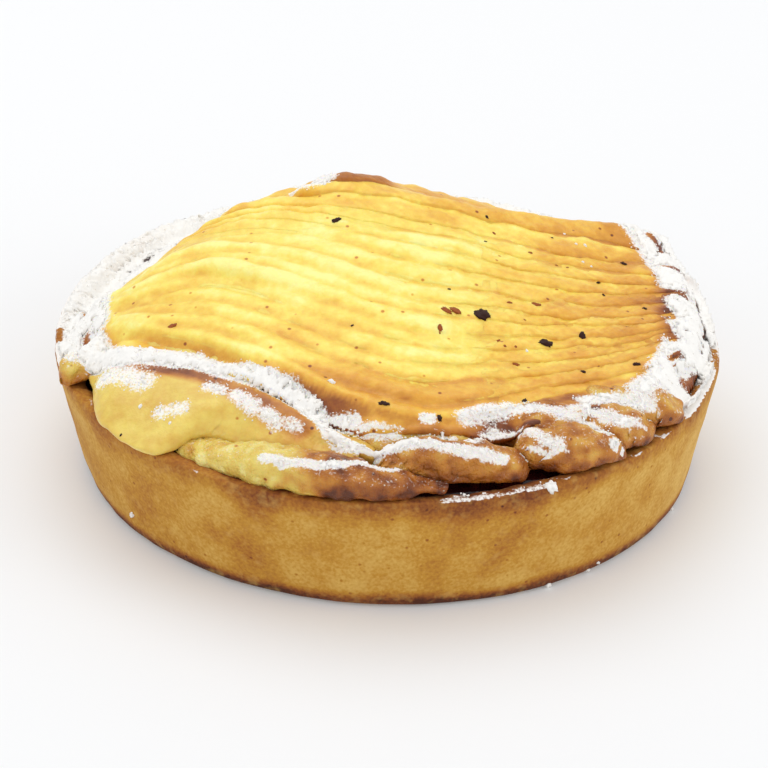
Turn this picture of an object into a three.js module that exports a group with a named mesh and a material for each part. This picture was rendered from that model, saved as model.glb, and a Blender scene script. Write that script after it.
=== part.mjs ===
// Apple tart for one: a shortcrust pastry case filled with jam, topped with half an apple that was
// cut into thin slices and pushed over, so that the slices lie on each other like fallen dominoes.
// Millimetres, +Z up. The slices run along X and lean towards -Y, the front.
// The origin is the centre of the flat base.
import * as THREE from "three";

// Driving dimensions of the pastry case
const RIM_RADIUS = 50;
const BASE_RADIUS = 45.9;
const CASE_HEIGHT = 19.4;
const WALL = 3.4;
const FLOOR = 4;
const BASE_EDGE = 1.1; // rounding where the wall meets the base
const RIM_SHIFT_X = -0.7; // the rim leans a little to the left of the base
const RIM_WAVE = 0.3; // how far the hand-pressed rim strays, out and up
const TURN_STEPS = 72;

// Driving dimensions of the filling and of the fruit on it
const GAP = 0.3; // clearance between touching pieces
const FILLING_CROWN = 19.8;
const FILLING_EDGE = 18; // the filling's level at the wall
const FRUIT_Z = 20.1; // the cut side of the apple, just over the rim

// The fan of slices
const MAIN_SLICES = 14;
const REAR_SLICES = 4; // small slices of the apple's end, behind the tallest
const REAR_DROP = 2.4; // how fast the slices behind the tallest get lower
const FRONT_Y = -38.6; // the ridge of the front slice where it bows out most
const BOW_X = 3;
const CREST = 16.4; // the tallest ridge over the cut side of the apple
const CREST_X = -4;
const BACK_FOOT_Y = 27; // where the slices stand on the filling
const FRONT_FOOT_Y = -9;
const REAR_FOOT_DEPTH = 55;
const REAR_BUMP = 4; // how far a part of the slice behind the tallest stands up
const BUMP_X = -13.6; // the blunt left end of that part
const LEFT_STEPS = [-14.4, -25.5, -29.8, -33.6]; // where the left ends of the first slices drop
const LEFT_DROP = 2.4; // how far they drop behind the next slice
const STEP_HALF = 0.7; // half the length of such a step along the slice
const BLUNT_END_X = 40; // the slices are cut off square at the right
const RIGHT_REACH = 4.5; // how much further the middle slices reach there
const STATION = 4.4; // spacing of the bends along a slice
const NOSE = 0.2; // the share of a slid slice's length that its rounded tip takes

const COLOURS = { pastry: 0xbc8a36, jam: 0x3a120c, apple: 0xf0cf62, bakedApple: 0xc88a3a };

const lerp = THREE.MathUtils.lerp;

// Eases from 0 at one place to 1 at the other, in either direction.
function smooth(value, from, to) {
  return THREE.MathUtils.smoothstep((value - from) / (to - from), 0, 1);
}

// A small seeded generator of numbers from -1 to 1, so that every build is alike.
function seeded(seed) {
  let state = seed;
  return () => {
    state = (Math.imul(state, 1664525) + 1013904223) >>> 0;
    return state / 2 ** 31 - 1;
  };
}

function material(colour, roughness) {
  return new THREE.MeshStandardMaterial({ color: colour, roughness, metalness: 0 });
}

function piece(name, geometry, finish) {
  const mesh = new THREE.Mesh(geometry, finish);
  mesh.name = name;
  return mesh;
}

// Moves every vertex of a geometry through a function of its place.
function reshape(geometry, move) {
  const position = geometry.getAttribute("position");
  const point = new THREE.Vector3();
  for (let i = 0; i < position.count; i++) {
    point.fromBufferAttribute(position, i);
    move(point);
    position.setXYZ(i, point.x, point.y, point.z);
  }
  geometry.computeVertexNormals();
  return geometry;
}

// PASTRY CASE AND FILLING

// The slow waves of a rim that was pressed by hand, which the filling follows.
function unevenRim(point) {
  const share = Math.max(0, point.z) / CASE_HEIGHT;
  const radius = Math.hypot(point.x, point.y);
  if (radius < 1e-6) return;
  const angle = Math.atan2(point.y, point.x);
  const out = RIM_WAVE * (0.6 * Math.sin(3 * angle + 0.8) + 0.4 * Math.sin(7 * angle + 2.1));
  const up = RIM_WAVE * (0.5 * Math.sin(5 * angle + 1.3) + 0.4 * Math.sin(11 * angle));
  const reach = 1 + (share * out) / radius;
  const nearRim = THREE.MathUtils.smoothstep(radius, 0.7 * RIM_RADIUS, 0.9 * RIM_RADIUS);
  point.x = point.x * reach + share * RIM_SHIFT_X;
  point.y *= reach;
  point.z += share ** 4 * up * nearRim;
}

function turned(profile) {
  const points = profile.map(([r, z]) => new THREE.Vector2(r, z));
  return reshape(new THREE.LatheGeometry(points, TURN_STEPS).rotateX(Math.PI / 2), unevenRim);
}

function outerWall(z) {
  return lerp(BASE_RADIUS, RIM_RADIUS, z / CASE_HEIGHT);
}

function pastryCase() {
  const crest = CASE_HEIGHT - 0.7;
  return turned([
    [0, 0],
    [BASE_RADIUS - BASE_EDGE, 0],
    [BASE_RADIUS - 0.25, 0.4 * BASE_EDGE],
    [outerWall(BASE_EDGE), BASE_EDGE],
    [outerWall(0.35 * CASE_HEIGHT), 0.35 * CASE_HEIGHT],
    [outerWall(0.7 * CASE_HEIGHT), 0.7 * CASE_HEIGHT],
    [outerWall(crest), crest],
    [RIM_RADIUS - 0.55, CASE_HEIGHT - 0.1],
    [RIM_RADIUS - 0.5 * WALL, CASE_HEIGHT],
    [RIM_RADIUS - WALL + 0.3, CASE_HEIGHT - 0.35],
    [outerWall(FILLING_EDGE) - WALL, FILLING_EDGE],
    [outerWall(0.5 * CASE_HEIGHT) - WALL, 0.5 * CASE_HEIGHT],
    [outerWall(FLOOR) - WALL - 0.8, FLOOR + 0.6],
    [outerWall(FLOOR) - WALL - 3, FLOOR],
    [0, FLOOR],
  ]);
}

function jamFilling() {
  const wall = (z) => outerWall(z) - WALL - GAP;
  return turned([
    [0, FLOOR + GAP],
    [wall(FLOOR) - 3, FLOOR + GAP],
    [wall(FLOOR) - 0.8, FLOOR + 0.6 + GAP],
    [wall(0.5 * CASE_HEIGHT), 0.5 * CASE_HEIGHT],
    [wall(FILLING_EDGE - 0.3), FILLING_EDGE - 0.3],
    [wall(FILLING_EDGE) - 0.8, FILLING_EDGE],
    [0.86 * RIM_RADIUS, lerp(FILLING_EDGE, FILLING_CROWN, 0.6)],
    [0.8 * RIM_RADIUS, lerp(FILLING_EDGE, FILLING_CROWN, 0.92)],
    [0.6 * RIM_RADIUS, FILLING_CROWN],
    [0, FILLING_CROWN],
  ]);
}

// THE FAN OF APPLE SLICES

// The fan is a stack of curved cuts. Cut s = 0 is behind the tallest slice, s = 1 is the front of the
// fan, and the cuts behind the tallest slice have negative numbers. A cut is a sheet of straight lines,
// one for each x, which lean forward from the filling to the ridge.

// The ridge of the tallest slice seen from above
function backRidgeY(x) {
  return 16.2 + 8 * smooth(x, 8, 42) - 5 * smooth(x, -24, -44);
}

// The ridge of the front slice bows forward most a little to the right of the middle.
function frontRidgeY(x) {
  const away = x - BOW_X;
  return FRONT_Y + (away < 0 ? 30 * (-away / 47) ** 1.4 : 24 * (away / 38) ** 1.6);
}

// Left of the middle the ridges crowd together towards the back, and right of it towards the front.
function ridgeY(s, x) {
  const back = 0.4 * smooth(x, -2, -26) * (1 - smooth(x, -28, -42));
  const front = 0.38 * smooth(x, 6, 38);
  return lerp(backRidgeY(x), frontRidgeY(x), s ** (1 + back - front));
}

function leftEnd(s) {
  return s < 0 ? -35 - 70 * s : -35 - 9 * Math.sin(2.17 * s);
}

// The slices are cut off square at the right, and the ones behind the tallest are short.
function rightEnd(s) {
  return s < 0 ? BLUNT_END_X + 130 * s : BLUNT_END_X + RIGHT_REACH * Math.sin(Math.PI * s) ** 0.6;
}

// How high the ridge is over the cut side of the apple: round on the left, falling gently to the right
function ridgeRise(s, x) {
  const forward = (backRidgeY(0) - ridgeY(s, x)) / (backRidgeY(0) - FRONT_Y);
  const crest = CREST - 7 * forward - 3.4 * forward ** 2;
  if (x < CREST_X) {
    const d = Math.min(1, (CREST_X - x) / (CREST_X - leftEnd(s)));
    return crest * (1 - d ** 2.15) ** 0.57;
  }
  const d = Math.min(1, (x - CREST_X) / (BLUNT_END_X - CREST_X));
  return crest * (1 - 0.7 * d ** 1.15);
}

// Where the straight edge of a cut stands on the filling
function footY(s, x) {
  const back = BACK_FOOT_Y - 12 * smooth(x, -18, -40);
  return s < 0 ? back - REAR_FOOT_DEPTH * s : lerp(back, FRONT_FOOT_Y, s);
}

// A point of the fan: on the cut numbered s, at a place along it, up it by a height.
// The cuts behind the tallest slice lean just as the first one does.
function fanPoint(s, x, height) {
  const ripple = 0.45 * Math.sin(x / 6.5 + 4 * s + 1) + 0.3 * Math.sin(x / 3.7 - 5 * s);
  const foot = new THREE.Vector3(x, footY(s, x) + ripple, FRUIT_Z);
  const main = Math.max(0, s);
  const lean = ridgeY(main, x) - footY(main, x);
  const up = new THREE.Vector3(0, lean, Math.max(0.8, ridgeRise(main, x)));
  return foot.addScaledVector(up.normalize(), height);
}

// The length of a cut from its foot to its ridge. Behind the tallest slice the apple falls away.
function cutHeight(s, x) {
  const main = Math.max(0, s);
  const full = Math.hypot(ridgeY(main, x) - footY(main, x), ridgeRise(main, x));
  if (s >= 0) return full;
  const d = Math.abs(x - CREST_X) / (BLUNT_END_X - CREST_X);
  return full * (1 + REAR_DROP * s) * (1 - 0.5 * d);
}

// The places along the slices at which neighbours share their bends, with two more at a step
function stations(left, right, step) {
  const inner = step === undefined ? [] : [step - STEP_HALF, step + STEP_HALF];
  for (let x = -42; x < 42; x += STATION) {
    const clear = step === undefined || Math.abs(x - step) > 2 * STEP_HALF;
    if (clear && x > left + 0.4 * STATION && x < right - 0.4 * STATION) inner.push(x);
  }
  return [left, ...inner.sort((a, b) => a - b), right];
}

// Splits the squares of a box's back side along their other diagonals, so that it bends as its front does.
function turnBackDiagonals(box) {
  const { start, count } = box.groups[3];
  for (let i = start; i < start + count; i += 6) {
    const [a, b, , , c, d] = box.index.array.slice(i, i + 6);
    box.index.array.set([a, b, c, a, c, d], i);
  }
  return box;
}

function stepUp(middle, step, x) {
  if (step === undefined) return 0;
  const past = smooth(x, step - STEP_HALF, step + STEP_HALF);
  if (middle > 0) return LEFT_DROP * (past - 1);
  return REAR_BUMP * past * (0.6 + 0.4 * smooth(x, step, step + 5)) * smooth(x, 2, -6);
}

// One slice fills the fan between two cuts, less the clearance to its neighbours. At a step, the part of
// the slice behind the tallest stands up, or the left end of a slice drops.
function fanSlice(from, to, draw, step) {
  const middle = (from + to) / 2;
  const taller = 0.6 * draw();
  const shift = 0.9 * draw();
  const phase = 3 * draw();
  const left = leftEnd(middle) + shift;
  const right = rightEnd(middle) + shift;
  const places = stations(left, right, step);
  const last = places.length - 1;
  const shape = turnBackDiagonals(new THREE.BoxGeometry(1, 1, 1, last, 2, 3));
  return reshape(shape.translate(0.5, 0.5, 0.5), (point) => {
    const { x: along, y: across, z: up } = point;
    const x = places[Math.round(along * last)];
    const ripple = 0.35 * Math.sin(x / 4.1 + phase);
    const ends = middle < 0 ? Math.sqrt(1 - 0.8 * Math.abs(2 * along - 1) ** 3) : 1;
    const tall = Math.max(2, (cutHeight(middle, x) + taller + ripple) * ends + stepUp(middle, step, x));
    const rounding = 0.6 * (2 * across - 1) ** 2 * up ** 6;
    const reach = tall * up - rounding;
    const thick = fanPoint(from, x, reach).distanceTo(fanPoint(to, x, reach));
    const inset = ((along === 0 ? 1.3 : 0.65) * GAP) / thick; // thin at the left tip
    point.copy(fanPoint(lerp(from, to, lerp(inset, 1 - inset, 1 - across)), x, reach));
  });
}

function fanSlices(finish) {
  const draw = seeded(7);
  const cuts = [];
  for (let i = -REAR_SLICES; i <= MAIN_SLICES; i++) {
    const loose = i === 0 || i === MAIN_SLICES ? 0 : 0.18 * draw();
    cuts.push((i + loose) / MAIN_SLICES);
  }
  return cuts.slice(1).map((to, i) => {
    const name = `apple_slice_${String(i + 1).padStart(2, "0")}`;
    const step = i === REAR_SLICES - 1 ? BUMP_X : LEFT_STEPS[i - REAR_SLICES];
    return piece(name, fanSlice(cuts[i], to, draw, step), finish);
  });
}

// THE SLICES THAT SLID TO THE FRONT

function curve(points) {
  return new THREE.CatmullRomCurve3(points.map((p) => new THREE.Vector3(...p)), false, "centripetal");
}

// The rounded end of the apple leans against the fan at the front left. Its thick end hangs over the rim,
// and its top reaches back under the front slice of the fan.
function endSlice() {
  const foot = curve([
    [-42, -26.5, 20.2],
    [-40.3, -31.6, 19.3],
    [-37, -36.4, 18.4],
    [-32.6, -39.5, 19.4],
    [-25.5, -34.4, 20.9],
    [-13, -38.7, 20.9],
    [-2, -41.3, 20.3],
  ]);
  const top = curve([
    [-41.5, -21.6, 22],
    [-38.5, -20.6, 24.6],
    [-32, -21.4, 26.2],
    [-24, -26.6, 26.8],
    [-17, -32.4, 26.2],
    [-10, -37.5, 24.8],
    [-2, -41.6, 22.8],
  ]);
  const backStep = 5.5;
  const bulge = 1.3;
  const shape = new THREE.BoxGeometry(1, 1, 1, 22, 2, 3).translate(0.5, 0.5, 0.5);
  return reshape(shape, (point) => {
    const { x: along, y: inward, z: up } = point;
    const low = foot.getPoint(along);
    const high = top.getPoint(along);
    const bottomZ = lerp(low.z, FRUIT_Z + 0.1, 1 - (1 - inward) ** 3.3);
    const bottomY = low.y + backStep * lerp(1, 0.3, along) * inward ** 2;
    const topY = high.y + lerp(5.6, 0.9, smooth(along, 0.42, 0.68)) * inward;
    const topZ = high.z - 1.2 * inward;
    const swell = bulge * 4 * up * (1 - up) * (1 - inward);
    point.set(
      lerp(low.x, high.x, up),
      lerp(bottomY, topY, up) - 0.6 * swell,
      lerp(bottomZ, topZ, up) + 0.8 * swell,
    );
    const end = Math.min(1, along / 0.13);
    const round = Math.sqrt(1 - 0.8 * (1 - end) ** 2);
    const heart = low.lerp(high, 0.55);
    heart.y += 0.5 * lerp(6, 1.4, along);
    point.y = lerp(heart.y, point.y, round);
    point.z = Math.max(lerp(heart.z, point.z, round), Math.min(point.z, FRUIT_Z + 0.1));
  });
}

// How full a slice is near an end that is rounded off: 1 along its length, and small at the end itself
function roundedEnd(fromEnd, length) {
  const end = Math.min(1, fromEnd / length);
  return Math.sqrt(Math.max(0.12, 1 - (1 - end) ** 2));
}

// A slid slice shows its rounded edge: a bar along a path, low at its left end where it is tucked under
// the fan, with a round nose at its right tip.
function slidSlice({ path, width, height, tuck, tip }) {
  const line = curve(path);
  const shape = new THREE.BoxGeometry(1, 1, 1, 16, 2, 3).translate(0.5, 0.5, 0.5);
  return reshape(shape, (point) => {
    const { x: share, y: across, z: up } = point;
    const along = share - 0.11 * Math.sin(2 * Math.PI * share); // the bends crowd at both ends
    const centre = line.getPoint(along);
    const nose = roundedEnd(1 - along, NOSE);
    const round = Math.min(nose, roundedEnd(along, 0.3));
    const taper = lerp(tuck, 1, smooth(along, 0, 0.45)) * lerp(tip, 1, smooth(along, 1, 0.6));
    const rise = taper * nose * roundedEnd(along, 0.08);
    const side = 2 * across - 1;
    const crown = 1 - (side < 0 ? 0.22 : 0.08) * side ** 2 * up ** 3;
    const belly = 1 - 0.16 * (2 * up - 1) ** 2;
    point.set(
      centre.x,
      centre.y + 0.5 * width * side * round * belly + 0.12 * height * up,
      centre.z + height * up * crown * rise,
    );
  });
}

// From the rim's front edge back to the right of the fan, and a small end at the left rim
const SLID_SLICES = [
  {
    path: [[-28.5, -37.9, 20], [-22, -41.3, 20], [-13, -45.3, 20], [-4, -47.4, 20], [8.3, -46.8, 20]],
    width: 3.8,
    height: 3.5,
    tuck: 0.28,
    tip: 0.6,
  },
  {
    path: [[-1, -42.9, 20.2], [8, -43.2, 20.2], [19, -41.6, 20.1]],
    width: 3.9,
    height: 5.2,
    tuck: 0.7,
    tip: 0.6,
  },
  {
    path: [[-16, -30, 20.2], [-10, -33.9, 20.2], [-3, -37.4, 20.2], [5, -38.5, 20.2], [14.5, -36, 20.2]],
    width: 4,
    height: 5.2,
    tuck: 0.95,
    tip: 0.95,
  },
  {
    path: [[18.6, -38, 20.2], [25, -38.2, 20.2], [33, -36.2, 20.1]],
    width: 4.7,
    height: 4.6,
    tuck: 0.9,
    tip: 0.7,
  },
  {
    path: [[16, -33.2, 20.2], [26, -32.6, 20.2], [37.2, -30.2, 20.1]],
    width: 4.9,
    height: 4.7,
    tuck: 0.9,
    tip: 0.75,
  },
  {
    path: [[18, -27.6, 20.2], [31, -26.7, 20.2], [41.6, -23.4, 20.1]],
    width: 5.1,
    height: 4.2,
    tuck: 0.6,
    tip: 0.8,
  },
  {
    path: [[-47.2, -18.4, 20], [-45.2, -16.7, 20], [-42.8, -14.6, 20]],
    width: 3.6,
    height: 3.4,
    tuck: 0.85,
    tip: 0.95,
  },
];

const tart = new THREE.Group();
const apple = material(COLOURS.apple, 0.45);
const bakedApple = material(COLOURS.bakedApple, 0.5);
tart.add(piece("pastry_case", pastryCase(), material(COLOURS.pastry, 0.8)));
tart.add(piece("jam_filling", jamFilling(), material(COLOURS.jam, 0.25)));
tart.add(...fanSlices(apple));
tart.add(piece("apple_end_slice", endSlice(), apple));
SLID_SLICES.forEach((slid, i) => {
  tart.add(piece(`apple_slid_slice_${i + 1}`, slidSlice(slid), bakedApple));
});

export default tart;
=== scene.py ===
"""Looks of the apple tart: baked shortcrust, dark jam, a fan of soft apple slices, icing sugar and specks.

Every piece is a smooth, uneven copy of its solid, in metres, with +Z up and -Y to the front.
"""
import math

import bmesh
import bpy
import numpy as np
from mathutils import Matrix, Vector, kdtree, noise


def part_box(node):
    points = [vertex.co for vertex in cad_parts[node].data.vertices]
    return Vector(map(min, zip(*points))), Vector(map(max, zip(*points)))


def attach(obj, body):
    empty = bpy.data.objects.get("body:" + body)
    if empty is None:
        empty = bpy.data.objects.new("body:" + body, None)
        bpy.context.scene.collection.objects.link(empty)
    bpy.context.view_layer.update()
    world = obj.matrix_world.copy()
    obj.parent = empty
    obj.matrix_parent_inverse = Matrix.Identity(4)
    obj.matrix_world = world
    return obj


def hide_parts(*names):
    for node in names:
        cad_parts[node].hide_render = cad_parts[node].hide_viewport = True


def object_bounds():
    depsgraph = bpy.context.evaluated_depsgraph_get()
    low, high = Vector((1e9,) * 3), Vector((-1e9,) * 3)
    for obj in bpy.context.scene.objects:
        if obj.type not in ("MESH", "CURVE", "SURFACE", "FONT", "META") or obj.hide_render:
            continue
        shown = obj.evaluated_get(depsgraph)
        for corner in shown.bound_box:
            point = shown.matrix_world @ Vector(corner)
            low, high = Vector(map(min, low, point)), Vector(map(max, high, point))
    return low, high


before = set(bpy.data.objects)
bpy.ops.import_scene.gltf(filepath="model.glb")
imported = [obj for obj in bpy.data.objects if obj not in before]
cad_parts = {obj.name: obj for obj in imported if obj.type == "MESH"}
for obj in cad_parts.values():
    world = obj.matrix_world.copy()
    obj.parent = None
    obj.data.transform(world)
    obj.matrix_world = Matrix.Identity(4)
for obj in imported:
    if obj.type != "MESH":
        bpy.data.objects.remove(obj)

CAD_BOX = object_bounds()
MM = 0.001
BODY = "root"
SUGAR_WHITE = "f7f4ee"

# Camera, as the tart was seen
CAMERA_ELEVATION = math.radians(29)
CAMERA_ROLL = math.radians(1.7)
CAMERA_DISTANCE = 500 * MM
LOOK_AT_HEIGHT = 10 * MM
LENS_MM = 154.8
FRAME_SHIFT = (-0.0062, 0.0057)
CARD_GLOW = 0.175

# The tart's own measures, from its solids
CASE_LOW, CASE_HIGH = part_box("pastry_case")
RIM_RADIUS = (CASE_HIGH.x - CASE_LOW.x) / 2
RIM_CENTRE_X = (CASE_HIGH.x + CASE_LOW.x) / 2
CASE_HEIGHT = CASE_HIGH.z
ABOVE = 2 * CAD_BOX[1].z
DOWN = Vector((0, 0, -1))
FAN = [name for name in sorted(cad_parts) if name.startswith("apple_slice_")]
SLID_PREFIX = "apple_slid_slice_"
SLID = [name for name in sorted(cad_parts) if name.startswith(SLID_PREFIX)]
END = "apple_end_slice"
TALLEST = "apple_slice_05"

# Baked apple, from hardly baked to scorched: dry on top of the fan, moist in the slices at the front left,
# and well browned in the slid ones. The second ramp is a darker, duller copy of the first: painted shade
# on the slices at the front
DRY_FLESH = [
    (0.0, "fdf092"), (0.14, "fbdf68"), (0.28, "f2c650"), (0.45, "e2a43a"),
    (0.62, "ca862c"), (0.78, "ac681e"), (0.9, "904a14"), (1.0, "642f10"),
]
SHADED_FLESH = [
    (0.0, "f0df8a"), (0.14, "e9cf68"), (0.28, "e0bd58"), (0.45, "d6a044"),
    (0.62, "c27e2a"), (0.78, "a45f1c"), (0.9, "874614"), (1.0, "5e2c10"),
]

# How finely the copies are divided, and how sharp those edges stay that turn further than the edge angle
SLICE_LEVELS = 3
CASE_LEVELS = 3
JAM_LEVELS = 2
EDGE_ANGLE = math.radians(48)
FAN_SHARPNESS = 0.4
CASE_SHARPNESS = 0.35

# How far every slice swells to close the gaps between the solids, how far a fan slice's front edge stands
# proud of the next one, how far it is scalloped forwards and upwards, and how far its underside sinks
SWELL = 0.6 * MM
SHINGLE = 0.45 * MM
SCALLOP = 1.25 * MM
SCALLOP_RISE = 0.3 * MM
EDGE_REST = 1.0 * MM

# Large and small knuckles of each kind of slice, and the rounds that soften the end slice
FAN_KNUCKLES = (0.3 * MM, 0.3 * MM)
END_KNUCKLES = (0.35 * MM, 0.12 * MM)
SLID_KNUCKLES = (0.8 * MM, 0.55 * MM)
END_SOFTENING = 14

# Noise seeds of the slices, how far apart the rows lie that the fan's slices take their waves from, and how
# many points go to one in the search for the next slice
FAN_SEED = 20
END_SEED = 74
SLID_SEED = 77
ROW_APART = 31.7 * MM
THINNED = 3

# How well baked each slid slice and the tip behind the tallest slice are, and the browned upper edge of the
# end slice in plan, in millimetres
SLID_BAKE = (0.68, 0.58, 0.4, 0.6, 0.58, 0.55, 0.26)
REAR_BAKE = 0.4
END_EDGE = [(-38.5, -22.3), (-34, -24.3), (-30, -26), (-26, -28.2), (-22, -30.8), (-17, -34.6), (-12, -38.2)]

# How the front slices close the gaps between them, and how far the first slid slice's left end is tucked in
PRESS_REACH = 4.5 * MM
PRESS_SHARE = 0.62
TUCK = (0, 0.8 * MM, -0.7 * MM)

# The soft skin that the fan's slices sink into, on a plan grid: its step, and its reach and blur in cells
SKIN_STEP = 0.8 * MM
SKIN_REACH = 5
SKIN_BLUR = 4
PLAN_HALF = 53 * MM

# Ridges that the slices' edges make in the pulp on them: the blur that finds them, in rounds, their largest
# height, and the share that shows
RIDGE_BLUR = 70
RIDGE_LIMIT = 0.8 * MM
RIDGE_SHARE = 0.85

# Pulp between and on the slices: the gaps that it fills, in cells of the sugar's grid, how far below the
# slices it stays at the left and at the right, and how far clear of the stepped left ends. Then its bumps and
# thickness, how far it falls in a cell, how far out it reaches, as a share of the rim's radius, and the
# rounds that soften it
PULP_REACH = 6
PULP_SINK = (-0.25 * MM, 0.25 * MM)
STEP_CLEAR = 1.2 * MM
PULP_BUMP = 0.15 * MM
PULP_THICK = 1.0 * MM
PULP_FALL = 4 * MM
PULP_EDGE = 0.95
PULP_SOFTENING = 2
# The pulp's front edge in plan, in millimetres
PULP_FRONT = [
    (-50, -10), (-43.5, -17.5), (-36, -22.5), (-28, -25.5), (-20, -30), (-12, -35.5), (-4, -39.3),
    (6, -39.8), (15, -38), (24, -34), (32, -30.5), (38, -27), (43, -21), (50, -10),
]

# Icing sugar: the step of the plan grid that it is heaped on, how steeply and how far it banks up, the slopes
# that it slides off, how bare the right side is, how far it falls in a cell, how deep it sinks, how far its
# corners stray from the grid, as a share of the step, and the least amount that covers
SUGAR_STEP = 0.32 * MM
SUGAR_SLOPE = 1.15
SUGAR_BANK = 4.5 * MM
SUGAR_STEEP = (1.15, 1.9)
RIGHT_BARE = 0.3
SUGAR_FALL = 1.1 * MM
SUGAR_SINK = 0.35 * MM
SUGAR_STRAY = 0.3
SUGAR_LEAST = 0.74

# Each stroke of sugar: its path in plan, in millimetres, its half width, and how much was sifted there
SUGAR_STROKES = [
    ([(-48, -6), (-46.5, -11), (-43.5, -16.5), (-38.7, -20.6)], 2.0, 1.5),
    ([(-38.7, -20.6), (-35.7, -21.4), (-32, -22.6), (-28, -24.3)], 2.0, 1.5),
    ([(-28, -24.3), (-24, -27), (-20, -28.6), (-17.6, -30)], 1.65, 1.45),
    ([(-17.6, -30), (-15.3, -31.5), (-12.5, -33.7), (-10, -36)], 1.65, 1.45),
    ([(-46, -9), (-44, -13), (-42.5, -16)], 2.6, 1.7),
    ([(-10, -36), (-8.3, -39.2), (-6, -41.2), (-4.3, -42)], 1.15, 1.15),
    ([(-4.3, -42), (-2.3, -42.5), (1, -42.2), (3.7, -42.8)], 1.15, 1.15),
    ([(3.7, -42.8), (6.9, -43.8), (10.6, -43.7), (13, -43.5), (16.2, -43.1)], 1.15, 0.85),
    ([(-25.5, -30.4), (-23.6, -31.2)], 1.5, 0.7),
    ([(-21.4, -32.3), (-18.8, -34.4)], 1.7, 0.74),
    ([(-17.2, -35.4), (-15.4, -37.2)], 1.5, 0.7),
    ([(-13.8, -37.6), (-12.4, -38.6)], 1.2, 0.66),
    ([(-40.7, -23.6), (-37.7, -24.8), (-34.9, -26.8)], 2.6, 0.68),
    ([(-32.1, -33), (-28.9, -33.6)], 1.7, 0.64),
    ([(-8.6, -37.2), (-4.8, -37.7)], 1.6, 0.9),
    ([(-3.5, -38.8), (0.4, -39.4), (3.7, -40.5), (9, -40)], 1.2, 0.75),
    ([(5.1, -37.7), (6, -37.6)], 1.2, 0.75),
    ([(10.5, -36.3), (13.3, -34.8), (17.1, -32.7), (20.6, -31.9), (23.7, -33), (26.7, -33.8)], 1.7, 0.72),
    ([(11.6, -41), (15, -36.8), (18.5, -36.6), (21.9, -38.8), (23.6, -40)], 1.6, 0.7),
    ([(19.2, -40.3), (25, -41)], 0.95, 0.75),
    ([(-17, -44.6), (-14.5, -45.6), (-12, -46.4), (-8.8, -47.2), (-5.9, -47), (-4.2, -46)], 0.9, 0.95),
    ([(-4.2, -45.6), (-1.4, -45.9), (1.4, -45.8)], 0.9, 0.85),
    ([(8.3, -48.5), (10.5, -47.7), (13.1, -47.3), (16.6, -46.3), (19.2, -45.1), (21.6, -44)], 1.25, 0.6),
    ([(35.8, -24.8), (38.4, -20.5), (42.3, -16)], 2.6, 1.0),
    ([(27.8, -28.9), (31.4, -28.1), (34.7, -27.6), (38, -27), (40.2, -24.9)], 1.9, 0.82),
    ([(26, -31.8), (30.7, -32.5), (33.8, -32.8), (36.2, -32.5)], 1.5, 0.8),
    ([(21.3, -32.1), (24.4, -32.9), (26.7, -34.2), (30.6, -35.3)], 1.25, 0.8),
    ([(32, -37.2), (33, -36.8)], 1.3, 1.0),
    ([(42, -24), (40, -27.9)], 1.4, 1.0),
    ([(-27.4, -42.7), (-26.5, -43.2)], 1.1, 0.9),
    ([(-22, -46), (-21.4, -46.2)], 0.9, 1.0),
    ([(-46.3, -17.4), (-43.8, -15.2)], 1.7, 0.72),
    ([(-14.5, 16.5), (-10.5, 16.8)], 2.2, 0.95),
    ([(-26, 32), (-33, 25.5), (-38.5, 17), (-41.8, 8)], 4.2, 1.75),
]

# Bare spots in the sugar, where slice tips and the rim show: path in plan and half width, in millimetres
SUGAR_BARE = [
    ([(39.5, 20.5), (42, 18.5)], 0.7),
    ([(41.6, 13.3), (43.8, 13.2)], 0.75),
    ([(39, 4.8), (44.3, 5.3)], 0.8),
    ([(41.4, -1.2), (41.9, -2.4)], 0.6),
    ([(40.7, -6.3), (41.6, -8.1)], 0.75),
    ([(40.8, -14.1), (42.9, -11.6)], 0.5),
    ([(42.8, -16), (43.9, -15.6), (44.8, -13.4)], 1.1),
    ([(39.4, -26), (40.7, -24.9), (42, -23)], 0.9),
    ([(48.2, -2.5), (48.5, -4.8), (48.3, -7.7)], 0.8),
    ([(-46.4, 4.4), (-45.6, -0.4)], 0.45),
    ([(-45, -7.4), (-44.7, -9.4)], 0.6),
    ([(-49.4, -1.5), (-49.3, -5)], 0.6),
]
# How far the front slices are dusted all over
FRONT_DUST = 0.3

# Loose sugar: fine grains at the fringes, and small clumps where it lies thick
GRAIN_INPUTS = ("Grains per square metre", "Smallest", "Largest", "Seed")
FINE_GRAINS = dict(zip(GRAIN_INPUTS, (2.2e6, 0.06 * MM, 0.18 * MM, 3)))
CLUMPS = dict(zip(GRAIN_INPUTS, (0.35e6, 0.12 * MM, 0.36 * MM, 4)))

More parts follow.
